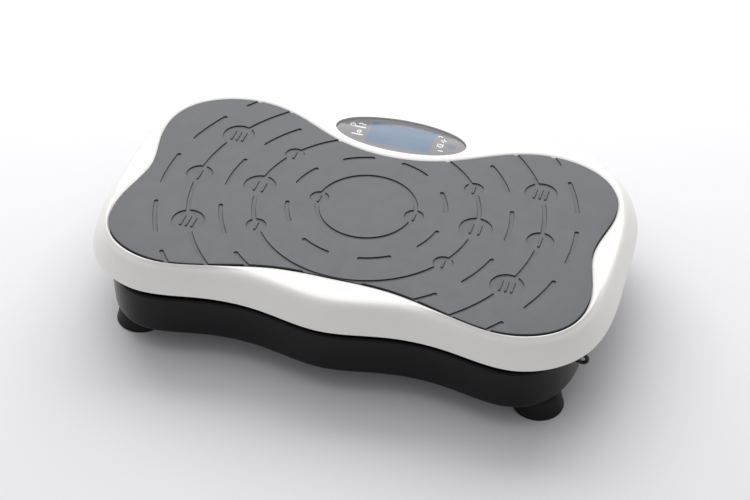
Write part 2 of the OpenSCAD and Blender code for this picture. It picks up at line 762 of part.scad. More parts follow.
// Catmull-Rom curve through a route's points, with k steps from each to the next
function smooth(p, k) = let (last = len(p) - 1) concat([
  for (i = [0 : last - 1], j = [0 : k - 1])
    let (u = j / k, a = p[max(i - 1, 0)], b = p[i], c = p[i + 1], d = p[min(i + 2, last)])
      b + u / 2 * ((c - a) + u * ((2 * a - 5 * b + 4 * c - d) + u * (3 * b - a - 3 * c + d)))
], [p[last]]);

// The same route moved by a shift that changes evenly from its start to its end
function shifted(p, from, to) = [for (i = [0 : len(p) - 1]) p[i] + from + i / (len(p) - 1) * (to - from)];

module lead(route, r) {
  p = smooth(route, 3);
  last = len(p) - 1;
  t = [for (i = [0 : last]) unit(p[min(i + 1, last)] - p[max(i - 1, 0)])];
  side = [for (i = 0, n = unit(cross(t[0], [0.1, 0.2, 1])); i <= last;
               i = i + 1, n = i <= last ? unit(n - (n * t[i]) * t[i]) : n) n];
  loft([for (i = [0 : last]) [for (a = [0 : 45 : 315])
    p[i] + r * (cos(a) * side[i] - sin(a) * cross(t[i], side[i]))]]);
}

module mains_leads() {
  color("#7a4a2a") lead(mains_route, 1.5);
  color("#2f5fa8") lead(shifted(mains_route, [12, 0, 0], [0, -9, 0]), 1.5);
}
module motor_leads() {
  color("#b03028") lead(motor_route, 1.4);
  color("#202124") lead(shifted(motor_route, [0, -5, 4], [0, 0, 4.2]), 1.4);
}
module display_lead() { color("#8a8d92") lead(display_route, 1.8); }

top_shell();
deck_mat();
console_lens();
lcd_module();
display_board();
ir_receiver();
platform_plate();
rib_front();
rib_rear();
fulcrum_sleeve();
fulcrum_bushes();
rod_brackets();
rod_pins();
deck_screws();
base_shell();
base_plate();
foot_front_left();
foot_front_right();
foot_rear_left();
foot_rear_right();
foot_studs();
foot_nuts();
base_screws();
base_nuts();
fulcrum_shaft();
pivot_block_front();
pivot_block_rear();
pillow_block_left();
pillow_block_right();
crank_bearings();
drive_bolts();
crankshaft();
crank_pulley();
rod_left();
rod_right();
rod_bearing_left();
rod_bearing_right();
rod_bush_left();
rod_bush_right();
motor_can();
motor_magnets();
motor_ends();
motor_bracket();
motor_strap();
motor_rotor();
motor_pulley();
drive_belt();
control_board();
board_standoffs();
transformer();
heat_sink();
board_parts();
rear_panel();
power_inlet();
switch_body();
power_rocker();
mains_leads();
motor_leads();
display_lead();
eyelets();
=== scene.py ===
# %% [markdown]
# # An oscillating vibration plate
#
# The object is a low exercise platform shaped like a bow tie. A grey rubber mat stands a little
# proud of a white top shell, the shell hangs over a black base tray, and four suction feet carry
# the tray. The mechanism inside is already drawn as CAD nodes, so this lesson only makes what an
# eye sees and what a hand touches, and gives every hidden node a true finish.
#
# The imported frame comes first. Each Blender piece rides on one of its bodies and takes its place
# from the frame's own boxes.

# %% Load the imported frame
import json
import math

import bpy
import numpy as np
from mathutils import Matrix, Vector


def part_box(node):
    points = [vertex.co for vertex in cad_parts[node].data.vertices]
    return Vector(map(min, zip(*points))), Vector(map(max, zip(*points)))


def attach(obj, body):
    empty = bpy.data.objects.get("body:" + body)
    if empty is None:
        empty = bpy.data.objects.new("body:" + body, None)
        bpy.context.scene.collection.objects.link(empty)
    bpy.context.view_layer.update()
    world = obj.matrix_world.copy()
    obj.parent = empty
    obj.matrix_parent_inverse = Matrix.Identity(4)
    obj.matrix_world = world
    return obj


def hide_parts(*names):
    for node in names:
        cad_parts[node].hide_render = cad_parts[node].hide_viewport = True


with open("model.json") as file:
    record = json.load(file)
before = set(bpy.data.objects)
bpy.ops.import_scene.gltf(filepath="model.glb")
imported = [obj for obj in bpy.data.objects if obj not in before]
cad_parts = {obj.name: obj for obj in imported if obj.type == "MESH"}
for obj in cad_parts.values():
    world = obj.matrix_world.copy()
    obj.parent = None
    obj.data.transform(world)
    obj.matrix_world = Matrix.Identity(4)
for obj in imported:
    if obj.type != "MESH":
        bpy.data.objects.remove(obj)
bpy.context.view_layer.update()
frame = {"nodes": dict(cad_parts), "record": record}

nodes = frame["nodes"]
MM = 0.001

# %% [markdown]
# ## The camera
#
# The camera looks down on the plate from the front right. A camera can be placed with rotation
# angles, but a matrix says it more plainly: its third column points back at the camera, and the
# first two are the image's right and up, turned by a small roll.

# %% Camera
AZIMUTH = math.radians(16.26)       # towards +X from straight in front
ELEVATION = math.radians(40.63)
ROLL = math.radians(0.82)
DISTANCE = 2.237
LENS_MM = 87.3
SENSOR_MM = 36
aim = Vector((0.0347, -0.0894, 0.145))

back = Vector((
    math.sin(AZIMUTH) * math.cos(ELEVATION),
    -math.cos(AZIMUTH) * math.cos(ELEVATION),
    math.sin(ELEVATION),
))
level_right = Vector((0, 0, 1)).cross(back).normalized()
level_up = back.cross(level_right)
right = math.cos(ROLL) * level_right + math.sin(ROLL) * level_up
up = math.cos(ROLL) * level_up - math.sin(ROLL) * level_right

camera_data = bpy.data.cameras.new("camera")
camera_data.lens = LENS_MM
camera_data.sensor_width = SENSOR_MM
camera = bpy.data.objects.new("camera", camera_data)
axes = Matrix((right, up, back)).transposed().to_4x4()
camera.matrix_world = Matrix.Translation(aim + DISTANCE * back) @ axes
bpy.context.scene.collection.objects.link(camera)
bpy.context.scene.camera = camera
print("camera at", [round(v, 3) for v in camera.location])

# %% [markdown]
# ## Floor and light
#
# A plain pale floor runs out past the view on all sides. A large soft box hangs behind and above
# the plate on its left, so the shell's top is bright, its front wall falls into soft shade, and the
# plate's shadow comes towards the viewer. A weak overhead box and a pale sky keep the shadow open.

# %% Floor
FLOOR_HALF = 6.0
FLOOR_COLOUR = (0.86, 0.858, 0.866, 1)
FLOOR_ROUGHNESS = 0.9
floor_mesh = bpy.data.meshes.new("floor")
floor_corners = [(x * FLOOR_HALF, y * FLOOR_HALF, 0) for x, y in [(-1, -1), (1, -1), (1, 1), (-1, 1)]]
floor_mesh.from_pydata(floor_corners, [], [(0, 1, 2, 3)])
floor = bpy.data.objects.new("floor", floor_mesh)
bpy.context.scene.collection.objects.link(floor)
paper = bpy.data.materials.new("matt_white_paper")
paper.use_nodes = True
paper_inputs = paper.node_tree.nodes["Principled BSDF"].inputs
paper_inputs["Base Color"].default_value = FLOOR_COLOUR
paper_inputs["Roughness"].default_value = FLOOR_ROUGHNESS
floor_mesh.materials.append(paper)
print("floor", 2 * FLOOR_HALF, "m across")


# %% Soft boxes and sky
def soft_box(name, place, target, width, height, watts):
    """A rectangular light at a place, turned so that its -Z axis points at the target."""
    data = bpy.data.lights.new(name, "AREA")
    data.shape = "RECTANGLE"
    data.size = width
    data.size_y = height
    data.energy = watts
    light = bpy.data.objects.new(name, data)
    light.location = place
    light.rotation_euler = (Vector(target) - Vector(place)).to_track_quat("-Z", "Y").to_euler()
    bpy.context.scene.collection.objects.link(light)
    print(f"{name}: {width} by {height} m, {watts} W")


soft_box("key", (-0.4, 1.55, 1.9), (0, 0, 0.1), 3.6, 1.8, 57)
soft_box("overhead", (-0.9, 0, 3.0), (0, 0, 0), 3.0, 3.0, 20)
SKY_COLOUR = (0.97, 0.97, 1, 1)
SKY_STRENGTH = 0.43
sky = bpy.data.worlds.new("sky")
sky.use_nodes = True
sky_inputs = sky.node_tree.nodes["Background"].inputs
sky_inputs["Color"].default_value = SKY_COLOUR
sky_inputs["Strength"].default_value = SKY_STRENGTH
bpy.context.scene.world = sky
bpy.context.scene.view_settings.view_transform = "Standard"

# %% [markdown]
# ## Helpers for surfaces
#
# Every new shape here is a set of rings of points, joined by quads and closed with a cap at each
# end. A wide outline with four waists is capped by a fan of triangles from its middle, from which
# every point is seen directly. A slender bent slot has no such middle, so strips cross it instead.

# %% From arrays to a mesh
def grid_faces(rows, columns, closed_rows=False):
    """Quads of a grid whose columns close on themselves: point (r, c) joins (r, c+1), (r+1, c+1) and
    (r+1, c)."""
    r, c = np.meshgrid(np.arange(rows if closed_rows else rows - 1), np.arange(columns), indexing="ij")
    r2 = (r + 1) % rows
    c2 = (c + 1) % columns
    corners = [r * columns + c, r * columns + c2, r2 * columns + c2, r2 * columns + c]
    return np.stack(corners, -1).reshape(-1, 4)


def strips_across(columns):
    """Faces across a ring that starts at the tip of a slender shape: quads join its two sides, and a
    triangle fills each tip."""
    near = np.arange(1, columns // 2 - 1)
    quads = np.stack([near, near + 1, columns - near - 1, columns - near], -1).tolist()
    tip = columns // 2
    return [[0, 1, columns - 1]] + quads + [[tip - 1, tip, tip + 1]]


def loft(rings, ends="fans"):
    """Points and faces of a skin through rings, given from the top or inner end down the outside.
    Each ring runs anticlockwise seen from above. The two ends are closed with fans round the mean of
    their points or with strips, or the last ring joins the first."""
    rings = np.asarray(rings, float)
    rows, columns = rings.shape[:2]
    points = rings.reshape(-1, 3)
    sides = grid_faces(rows, columns, ends == "joined")[:, ::-1].tolist()
    if ends == "joined":
        return points, sides
    if ends == "strips":
        first = strips_across(columns)
        return points, sides + first + [[k + (rows - 1) * columns for k in face[::-1]] for face in first]
    points = np.concatenate([points, rings[:1].mean(axis=1), rings[-1:].mean(axis=1)])
    edge = np.arange(columns)
    following = (edge + 1) % columns
    first = np.stack([edge, following, np.full(columns, rows * columns)], -1)
    last = np.stack([following, edge, np.full(columns, rows * columns + 1)], -1) + (
        (rows - 1) * columns, (rows - 1) * columns, 0)
    return points, sides + first.tolist() + last.tolist()


def joined(parts):
    """One set of points and faces from several, with each part's face numbers moved past the last."""
    starts = np.cumsum([0] + [len(points) for points, _ in parts])
    faces = [[start + k for k in face] for start, (_, part) in zip(starts, parts) for face in part]
    return np.concatenate([points for points, _ in parts]), faces


def piece_from(name, shape):
    """A Blender object whose mesh holds the shape's points, given in millimetres."""
    points, faces = shape
    mesh = bpy.data.meshes.new(name)
    mesh.from_pydata((points * MM).tolist(), [], faces)
    mesh.update()
    piece = bpy.data.objects.new(name, mesh)
    bpy.context.scene.collection.objects.link(piece)
    return piece


def carve(piece, cutter):
    """Takes the cutter's volume out of the piece with an exact Boolean and keeps the result."""
    boolean = piece.modifiers.new("carve", "BOOLEAN")
    boolean.operation = "DIFFERENCE"
    boolean.solver = "EXACT"
    boolean.object = cutter
    seen = piece.evaluated_get(bpy.context.evaluated_depsgraph_get())
    carved = bpy.data.meshes.new_from_object(seen)
    piece.modifiers.clear()
    piece.data = carved
    bpy.data.objects.remove(cutter)
    return piece


def finish_piece(piece, body, material, replaced=(), sharp=32):
    """Smooth shading up to the sharp angle in degrees, the finish, and the tie to the CAD body."""
    piece.data.materials.clear()
    piece.data.materials.append(material)
    piece.data.shade_smooth()
    piece.data.set_sharp_from_angle(angle=math.radians(sharp))
    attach(piece, body)
    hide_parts(*replaced)
    print(f"{piece.name}: {len(piece.data.polygons)} faces on {body}")


square_rings = [[(0, 0, z), (1, 0, z), (1, 1, z), (0, 1, z)] for z in (1, 0)]
print("a cube lofted from two squares has", len(loft(square_rings)[1]), "faces")

# %% [markdown]
# ## Outlines
#
# The mat, the crest of the shell, the edge of its skirt and the base are smooth bow-tie curves. Each
# comes from a few control points of its right half, mirrored, and a uniform cubic B-spline runs
# past them, so a waist flows into a lobe with no flat or kink.

# %% B-spline outlines
RING_Y = -12                        # middle of the mat's groove rings
OUTLINE = 384                       # points round an outline

mat_half = [
    (0, -141), (75, -139), (147, -162), (220, -183), (299, -150), (312, -72), (282, 1),
    (313, 77), (292, 150), (210, 181), (139, 160), (76, 118), (0, 103),
]
crest_half = [
    (0, -190), (77, -166), (150, -163), (232, -191), (303, -152), (322, -67), (323, 7),
    (322, 86), (300, 160), (230, 211), (151, 190), (78, 188), (0, 211),
]
skirt_half = [
    (0, -206), (80, -180), (158, -181), (241, -206), (319, -156), (338, -76), (335, 7),
    (337, 91), (320, 166), (240, 226), (160, 208), (80, 204), (0, 230),
]
base_half = [
    (0, -201), (80, -175), (158, -176), (241, -202), (299, -150), (307, -76), (305, 7),
    (307, 91), (299, 160), (240, 221), (160, 203), (80, 199), (0, 225),
]


def outline(half):
    """A closed curve from its right half: the half and its mirror image are the control points, and
    each point is the four nearest ones weighted by the uniform cubic B-spline's blending functions."""
    half = np.array(half, float)
    control = np.concatenate([half, half[-2:0:-1] * (-1, 1)]) + (0, RING_Y)
    count = len(control)
    t = np.arange(OUTLINE) * count / OUTLINE
    i = np.floor(t).astype(int)
    u = (t - i)[:, None]
    weights = [(1 - u) ** 3, 3 * u**3 - 6 * u**2 + 4, 3 * (1 - u) ** 3 - 6 * (1 - u) ** 2 + 4, u**3]
    return sum(w * control[(i + k - 1) % count] for k, w in enumerate(weights)) / 6


def outward(line, distance):
    """A closed line moved along its own normals, which are its tangents turned by a right angle."""
    tangent = np.roll(line, -1, 0) - np.roll(line, 1, 0)
    normal = np.stack([tangent[:, 1], -tangent[:, 0]], -1)
    return line + distance * normal / np.linalg.norm(normal, axis=1)[:, None]


def level(line, z):
    """A flat line of points lifted to one height."""
    return np.column_stack([line, np.full(len(line), z)])


mat_line = outline(mat_half)
crest_line = outline(crest_half)
skirt_line = outward(outline(skirt_half), -0.02)    # a hair inside the CAD model's coarser curve
base_line = outline(base_half)
print("skirt is", np.ptp(skirt_line, axis=0).round(1), "mm across")

# %% [markdown]
# ## Finishes
#
# Each finish is a Principled shader with a few pattern nodes. The patterns read Object
# coordinates, which are metres here because every mesh keeps its place in its vertices, so a scale
# of one thousand over a size in millimetres gives a pattern of that size.

# %% Colour and nodes
COLOUR_A, COLOUR_B, COLOUR_OUT = 6, 7, 2    # a Mix node's colour sockets, whose names are not unique


def linear(hex_colour):
    """An sRGB hex colour as linear light: each channel is divided by 12.92 near black, and is
    otherwise raised to the power 2.4 after its offset."""
    channels = [int(hex_colour[k:k + 2], 16) / 255 for k in (1, 3, 5)]
    return [c / 12.92 if c <= 0.04045 else ((c + 0.055) / 1.055) ** 2.4 for c in channels] + [1]


def add(tree, kind, inputs=(), **settings):
    """Adds a node. The settings are its own values; each input is a number, a colour, or a link
    written as (node, output)."""
    node = tree.nodes.new(kind)
    for name, value in settings.items():
        setattr(node, name, value)
    for name, value in dict(inputs).items():
        if isinstance(value, tuple) and isinstance(value[0], bpy.types.Node):
            tree.links.new(value[0].outputs[value[1]], node.inputs[name])
        else:
            node.inputs[name].default_value = value
    return node


def per_mm(size_mm):
    """A texture scale whose features are about that many millimetres across."""
    return 1 / (size_mm * MM)


def new_finish(name, **shader_inputs):
    """A material with a Principled shader, its sockets set, and a node that gives Object coordinates."""
    material = bpy.data.materials.new(name)
    material.use_nodes = True
    tree = material.node_tree
    shader = tree.nodes["Principled BSDF"]
    for socket, value in shader_inputs.items():
        shader.inputs[socket.replace("_", " ")].default_value = value
    place = add(tree, "ShaderNodeTexCoord")
    return material, tree, shader, place


def mottled(tree, shader, place, dark, light, size_mm, detail=3.0):
    """Links a base colour that wanders between two shades over patches of the given size."""
    noise = add(tree, "ShaderNodeTexNoise",
                {"Vector": (place, "Object"), "Scale": per_mm(size_mm), "Detail": detail})
    blend = add(tree, "ShaderNodeMix", {"Factor": (noise, "Fac")}, data_type="RGBA")
    blend.inputs[COLOUR_A].default_value = linear(dark)
    blend.inputs[COLOUR_B].default_value = linear(light)
    tree.links.new(blend.outputs[COLOUR_OUT], shader.inputs["Base Color"])
    return blend


def grained(tree, shader, place, size_mm, height_mm, strength, detail=2.0, stretch=(1, 1, 1)):
    """Links a bump of noise: grains of the given size, that many millimetres deep."""
    mapping = add(tree, "ShaderNodeMapping", {"Vector": (place, "Object"), "Scale": stretch})
    noise = add(tree, "ShaderNodeTexNoise",
                {"Vector": (mapping, "Vector"), "Scale": per_mm(size_mm), "Detail": detail})
    bump = add(tree, "ShaderNodeBump",
               {"Height": (noise, "Fac"), "Distance": height_mm * MM, "Strength": strength})
    tree.links.new(bump.outputs["Normal"], shader.inputs["Normal"])


def uneven_gloss(tree, shader, place, low, high, size_mm):
    """Links a roughness that varies between two values, as handling and the mould leave it."""
    noise = add(tree, "ShaderNodeTexNoise",
                {"Vector": (place, "Object"), "Scale": per_mm(size_mm), "Detail": 4.0})
    span = add(tree, "ShaderNodeMapRange", {"Value": (noise, "Fac"), "To Min": low, "To Max": high})
    tree.links.new(span.outputs["Result"], shader.inputs["Roughness"])


print("middle grey as linear light:", [round(c, 3) for c in linear("#808080")[:3]])

# %% [markdown]
# ### The four finishes that carry the look
#
# The top shell is injection-moulded ABS in gloss white: its sheen is broad and soft because the
# mould leaves a very slight orange peel. The mat is matt synthetic rubber with a fine leather-like
# grain. The base tray is black ABS with a spark-eroded texture that keeps it from shining, and
# the feet are soft black PVC rubber with a smoother skin.

# %% Gloss white ABS
def gloss_white_abs():
    """Moulded and polished: white with a broad highlight and an orange peel too shallow to see as dots."""
    material, tree, shader, place = new_finish("gloss_white_abs", IOR=1.53)
    mottled(tree, shader, place, "#F2F0EB", "#F5F4F0", 60)
    uneven_gloss(tree, shader, place, 0.27, 0.31, 60)
    grained(tree, shader, place, 14, 0.02, 0.08, 0.0)
    return material


white_abs = gloss_white_abs()
print("finish:", white_abs.name)

# %% Grey mat rubber
def pressed_rubber():
    """Pressed synthetic rubber: matt grey, faintly cloudy, with a grain drawn at 1.6 mm because the
    real 0.4 mm grain is finer than the render shows. Steep walls get painted shade near black, as
    the light from behind hardly reaches them: the upright share of the surface's normal tells them from the
    flat top."""
    material, tree, shader, place = new_finish("pressed_grey_rubber", IOR=1.5)
    cloudy = mottled(tree, shader, place, "#626367", "#696A6D", 26, 6.0)
    # painted shade: the steep walls of grooves, slots, dishes and ribs blend towards near black
    facing = add(tree, "ShaderNodeSeparateXYZ", {"Vector": (place, "Normal")})
    painted_wall_shade = add(tree, "ShaderNodeMapRange", {"Value": (facing, "Z"), "From Min": 0.8, "From Max": 0.3})
    walls = add(tree, "ShaderNodeMix", {"Factor": (painted_wall_shade, "Result")}, data_type="RGBA")
    tree.links.new(cloudy.outputs[COLOUR_OUT], walls.inputs[COLOUR_A])
    walls.inputs[COLOUR_B].default_value = linear("#1C1C1E")
    tree.links.new(walls.outputs[COLOUR_OUT], shader.inputs["Base Color"])
    uneven_gloss(tree, shader, place, 0.56, 0.68, 14)
    grained(tree, shader, place, 1.6, 0.08, 0.35, 4.0)
    return material


grey_rubber = pressed_rubber()
print("finish:", grey_rubber.name)

# %% Textured black ABS
def spark_textured_abs():
    """Moulded in a spark-eroded tool: black with a fine even texture, so light spreads over it softly."""
    material, tree, shader, place = new_finish("spark_textured_abs", IOR=1.53, Specular_IOR_Level=0.2)
    mottled(tree, shader, place, "#07080B", "#0A0B0E", 40)
    uneven_gloss(tree, shader, place, 0.2, 0.28, 18)
    grained(tree, shader, place, 1.2, 0.02, 0.3, 3.0)
    return material


base_abs = spark_textured_abs()
print("finish:", base_abs.name)

# %% Suction foot rubber
def suction_rubber():
    """Moulded soft PVC: near black, with a dull skin whose gloss varies a little from place to place."""
    material, tree, shader, place = new_finish("suction_rubber", IOR=1.52, Specular_IOR_Level=0.25)
    mottled(tree, shader, place, "#030304", "#060607", 12)
    uneven_gloss(tree, shader, place, 0.34, 0.5, 9)
    grained(tree, shader, place, 2.2, 0.04, 0.3)
    return material


foot_rubber = suction_rubber()
print("finish:", foot_rubber.name)

# %% [markdown]
# ### The console's finish
#
# The console is one glossy smoked lens. The display and the remote's receiver sit behind it, so
# they are drawn as soft-edged areas in the lens's own colour and not as plates on top of it. The
# distance to a rounded rectangle is the larger of its two side distances, and a smooth step turns
# that into a mask with a blurred edge.

# %% Smoked console lens
console_low, console_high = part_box("console_lens")
display_low, display_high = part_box("lcd_module")
console_middle = (console_low + console_high) / 2
display_half = (display_high - display_low) / 2
WINDOW_X = 70 * MM                  # from the console's middle to the receiver's window
DISPLAY_EDGE = (1.2 * MM, -1.8 * MM)    # where the display's soft edge ends and starts
WINDOW_EDGE = (7.2 * MM, 5.8 * MM)      # the same for the radius of the window


def smoked_lens():
    """Clear acrylic over a grey print: mirror-smooth, with a backlit blue-grey display and a round
    receiver window under it."""
    material, tree, shader, place = new_finish("smoked_lens", Roughness=0.07, IOR=1.49)
    centred = add(tree, "ShaderNodeMapping",
                  {"Vector": (place, "Object"), "Location": [-v for v in console_middle]})
    parts = add(tree, "ShaderNodeSeparateXYZ", {"Vector": (centred, "Vector")})
    side = add(tree, "ShaderNodeMath", {0: (parts, "X")}, operation="ABSOLUTE")
    across = add(tree, "ShaderNodeMath", {0: (side, "Value"), 1: display_half.x},
                 operation="SUBTRACT")
    end = add(tree, "ShaderNodeMath", {0: (parts, "Y")}, operation="ABSOLUTE")
    along = add(tree, "ShaderNodeMath", {0: (end, "Value"), 1: display_half.y}, operation="SUBTRACT")
    outside = add(tree, "ShaderNodeMath", {0: (across, "Value"), 1: (along, "Value")},
                  operation="MAXIMUM")
    display = add(tree, "ShaderNodeMapRange",
                  {"Value": (outside, "Value"), "From Min": DISPLAY_EDGE[0], "From Max": DISPLAY_EDGE[1]},
                  interpolation_type="SMOOTHSTEP")
    window_at = add(tree, "ShaderNodeVectorMath",
                    {0: (centred, "Vector"), 1: (-WINDOW_X, 0, 0)}, operation="ADD")
    flattened = add(tree, "ShaderNodeVectorMath",
                    {0: (window_at, "Vector"), 1: (1, 1.3, 0)}, operation="MULTIPLY")
    reach = add(tree, "ShaderNodeVectorMath", {0: (flattened, "Vector")}, operation="LENGTH")
    window = add(tree, "ShaderNodeMapRange",
                 {"Value": (reach, "Value"), "From Min": WINDOW_EDGE[0], "From Max": WINDOW_EDGE[1]},
                 interpolation_type="SMOOTHSTEP")
    stretched = add(tree, "ShaderNodeMapping",
                    {"Vector": (centred, "Vector"), "Scale": (0.14, 1, 1)})
    bands = add(tree, "ShaderNodeTexNoise",
                {"Vector": (stretched, "Vector"), "Scale": per_mm(9), "Detail": 2.0, "Roughness": 0.6})
    lit = add(tree, "ShaderNodeMix", {"Factor": (bands, "Fac")}, data_type="RGBA")
    lit.inputs[COLOUR_A].default_value = linear("#556B82")
    lit.inputs[COLOUR_B].default_value = linear("#617B96")
    with_display = add(tree, "ShaderNodeMix", {"Factor": (display, "Result")}, data_type="RGBA")
    with_display.inputs[COLOUR_A].default_value = linear("#7A787B")
    tree.links.new(lit.outputs[COLOUR_OUT], with_display.inputs[COLOUR_B])
    with_window = add(tree, "ShaderNodeMix", {"Factor": (window, "Result")}, data_type="RGBA")
    tree.links.new(with_display.outputs[COLOUR_OUT], with_window.inputs[COLOUR_A])
    with_window.inputs[COLOUR_B].default_value = linear("#5E6C82")
    tree.links.new(with_window.outputs[COLOUR_OUT], shader.inputs["Base Color"])
    return material


console_lens_finish = smoked_lens()
print("display window", (2 * display_half / MM)[:2])

# %% [markdown]
# ### Finishes of the hardware and the hidden drive
#
# Metals keep the default index of refraction and differ by colour, roughness and the marks that
# making leaves: turning lines run round a shaft, rolling lines run along a sheet, and a casting
# has a coarse skin. A stretched noise draws such lines.

# %% Plain finishes in one table
def speckled_finish(name, dark, light, size_mm, rough, grain, metallic=0.0, stretch=(1, 1, 1),
                    **shader_inputs):
    """Two close shades in patches of the given size, a gloss that varies, and a grain given as
    (size in mm, depth in mm, strength)."""
    material, tree, shader, place = new_finish(name, Metallic=metallic, **shader_inputs)
    mottled(tree, shader, place, dark, light, size_mm)
    uneven_gloss(tree, shader, place, rough[0], rough[1], size_mm / 2)
    grained(tree, shader, place, grain[0], grain[1], grain[2], 3.0, stretch)
    return material


finishes = {
    "white_abs": white_abs,
    "mat_rubber": grey_rubber,
    "console_gloss": console_lens_finish,
    "base_abs": base_abs,
    "foot_rubber": foot_rubber,
    # glass of the display: smooth, with a faint blue-grey liquid-crystal tint
    "lcd_glass": speckled_finish(
        "display_glass", "#7C90AC", "#8DA3BF", 20,
        (0.05, 0.1), (6, 0.005, 0.1), IOR=1.5),
    # moulded nylon and ABS trim: dull black with a soft sheen
    "black_plastic": speckled_finish(
        "moulded_black_nylon", "#101113", "#17181A", 10,
        (0.32, 0.45), (0.9, 0.03, 0.35)),
    # the same nylon painted darker, as painted shade: the loop shows almost no light
    "eyelet_nylon": speckled_finish(
        "shade_darkened_eyelet_nylon", "#050506", "#08080A", 10,
        (0.32, 0.45), (0.9, 0.03, 0.35)),
    # the rocker's cap: glossy red polycarbonate
    "rocker_red": speckled_finish(
        "red_polycarbonate", "#A01E18", "#B4261F", 8,
        (0.16, 0.24), (3, 0.01, 0.2)),
    # epoxy glass board under green solder mask: faint weave and a wet gloss
    "circuit_board": speckled_finish(
        "solder_masked_board", "#1E5A38", "#2A7049", 5,
        (0.25, 0.35), (0.6, 0.01, 0.3)),
    # bright zinc on steel: cool white metal with a slight bloom
    "plated_steel": speckled_finish(
        "zinc_plated_steel", "#B9BCC0", "#CED1D4", 4,
        (0.28, 0.4), (0.8, 0.01, 0.3), 1.0),
    # ground and turned steel: bright, with fine lines round the shaft
    "turned_steel": speckled_finish(
        "ground_turned_steel", "#A9ABAE", "#C2C4C7", 6,
        (0.2, 0.3), (0.5, 0.01, 0.4), 1.0, (6, 1, 1)),
    # hot-rolled plate, painted thin: grey with long rolling lines
    "rolled_steel": speckled_finish(
        "hot_rolled_plate", "#6F747A", "#8A8F95", 25,
        (0.42, 0.55), (1.5, 0.02, 0.35), 0.85, (0.08, 1, 1)),
    # sintered bronze: dull gold with open pores
    "sintered_bronze": speckled_finish(
        "porous_sintered_bronze", "#8C6239", "#A87B4B", 2,
        (0.45, 0.6), (0.6, 0.03, 0.5), 1.0),
    # grey cast iron: dark and grainy from the sand
    "cast_housing": speckled_finish(
        "cast_iron", "#3E4145", "#54585D", 5,
        (0.55, 0.7), (1.6, 0.1, 0.7), 0.6),
    # baked enamel on the motor's can: smooth and dark
    "motor_paint": speckled_finish(
        "baked_enamel", "#232529", "#2E3136", 15,
        (0.3, 0.4), (2.5, 0.03, 0.25)),
    # die-cast aluminium: pale with a soft cloudy skin
    "die_cast_aluminium": speckled_finish(
        "die_cast_aluminium", "#A3A6AA", "#BFC2C5", 8,
        (0.38, 0.5), (1.2, 0.03, 0.4), 1.0),
    # varnished copper wire: close turns that show as fine ridges round the drum
    "copper_winding": speckled_finish(
        "varnished_copper", "#7E3F1C", "#B5683A", 1.5,
        (0.25, 0.35), (0.7, 0.1, 0.8), 0.9, (1, 0.1, 0.1)),
    # turned brass: yellow and bright
    "brass": speckled_finish(
        "turned_brass", "#B0913F", "#CBAA55", 3,
        (0.2, 0.3), (0.5, 0.01, 0.3), 1.0),
    # yellow polyester tape round the transformer: glossy, with a lapped edge
    "transformer_tape": speckled_finish(
        "polyester_tape", "#A87C22", "#C2953A", 6,
        (0.2, 0.3), (3, 0.03, 0.3)),
    # PVC insulation of the leads: smooth and slightly waxy
    "lead_insulation": speckled_finish(
        "pvc_insulation", "#26272A", "#323438", 9,
        (0.35, 0.45), (1.5, 0.02, 0.25)),
}

# %% [markdown]
# ## The white top shell
#
# The shell is one moulding. A ledge goes round the mat, the rim rises to a rounded crest, and the
# skirt flares out and down to a thin lip. It could be modelled by hand and smoothed with a
# subdivision surface, but a loft through rings with a smooth curve across them keeps every section
# exact. The wall is hollow behind, and an oval is carved out for the console.

# %% Heights from the frame
mat_low, mat_high = (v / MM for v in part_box("deck_mat"))
lens_low, lens_high = (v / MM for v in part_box("console_lens"))
base_low, base_high = (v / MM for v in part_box("base_shell"))
shell_low, shell_high = (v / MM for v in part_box("top_shell"))

MAT_TOP, DECK = mat_high.z, mat_low.z
RIM = shell_high.z                  # highest line of the rim
LEDGE = MAT_TOP - 2.8               # ledge beside the mat
CREASE = MAT_TOP - 3.6              # where the rim turns down into the skirt
SKIRT = shell_low.z                 # lower edge of the skirt
WALL = 2.6                          # plastic wall
SHELL_UNDER = DECK - 3              # underside of the shell's deck
print(f"mat top {MAT_TOP:.1f}, rim {RIM:.1f}, skirt {SKIRT:.1f} mm")


# %% A smooth curve across rings
def smoothed(rings, steps):
    """Extra rings between the given ones, on a Catmull-Rom curve through each row of matching
    points. Its slope at a ring weighs the two neighbouring spans by the roots of their lengths, so
    it never overshoots a short span next to a long one."""
    rings = np.asarray(rings, float)
    ends = np.concatenate([[2 * rings[0] - rings[1]], rings, [2 * rings[-1] - rings[-2]]])
    span = np.sqrt(np.linalg.norm(np.diff(ends, axis=0), axis=2, keepdims=True)) + 1e-9
    slope = np.diff(ends, axis=0) / span
    across = (ends[2:] - ends[:-2]) / (span[1:] + span[:-1])
    tangent = slope[:-1] - across + slope[1:]
    t = (np.arange(steps) / steps).reshape(-1, 1, 1)
    start, end = rings[:-1, None], rings[1:, None]
    pull = span[1:-1, None]
    curve = ((2 * t**3 - 3 * t**2 + 1) * start + (t**3 - 2 * t**2 + t) * pull * tangent[:-1, None]
             + (3 * t**2 - 2 * t**3) * end + (t**3 - t**2) * pull * tangent[1:, None])
    return np.concatenate([curve.reshape(-1, *rings.shape[1:]), rings[-1:]])


print("three rings in four steps become", len(smoothed(np.arange(9).reshape(3, 1, 3), 4)), "rings")

# %% Rings of the shell
ledge_line = outward(mat_line, 1)
rim_span = np.linalg.norm(crest_line - ledge_line, axis=1)[:, None]
rim_step = (crest_line - ledge_line) / rim_span
bevel = np.minimum(14, rim_span)    # a wide stretch of rim keeps a flat between its two bevels

# fraction of the way down, fraction of the way out
skirt_stations = [(0.1, 0.22), (0.28, 0.46), (0.5, 0.67), (0.75, 0.86)]


def skirt_ring(down, out, inset=0.0):
    """A ring part of the way from the crest to the skirt's edge, and that far inside the surface."""
    line = crest_line + out * (skirt_line - crest_line)
    return level(outward(line, -inset), CREASE - down * (CREASE - SKIRT))


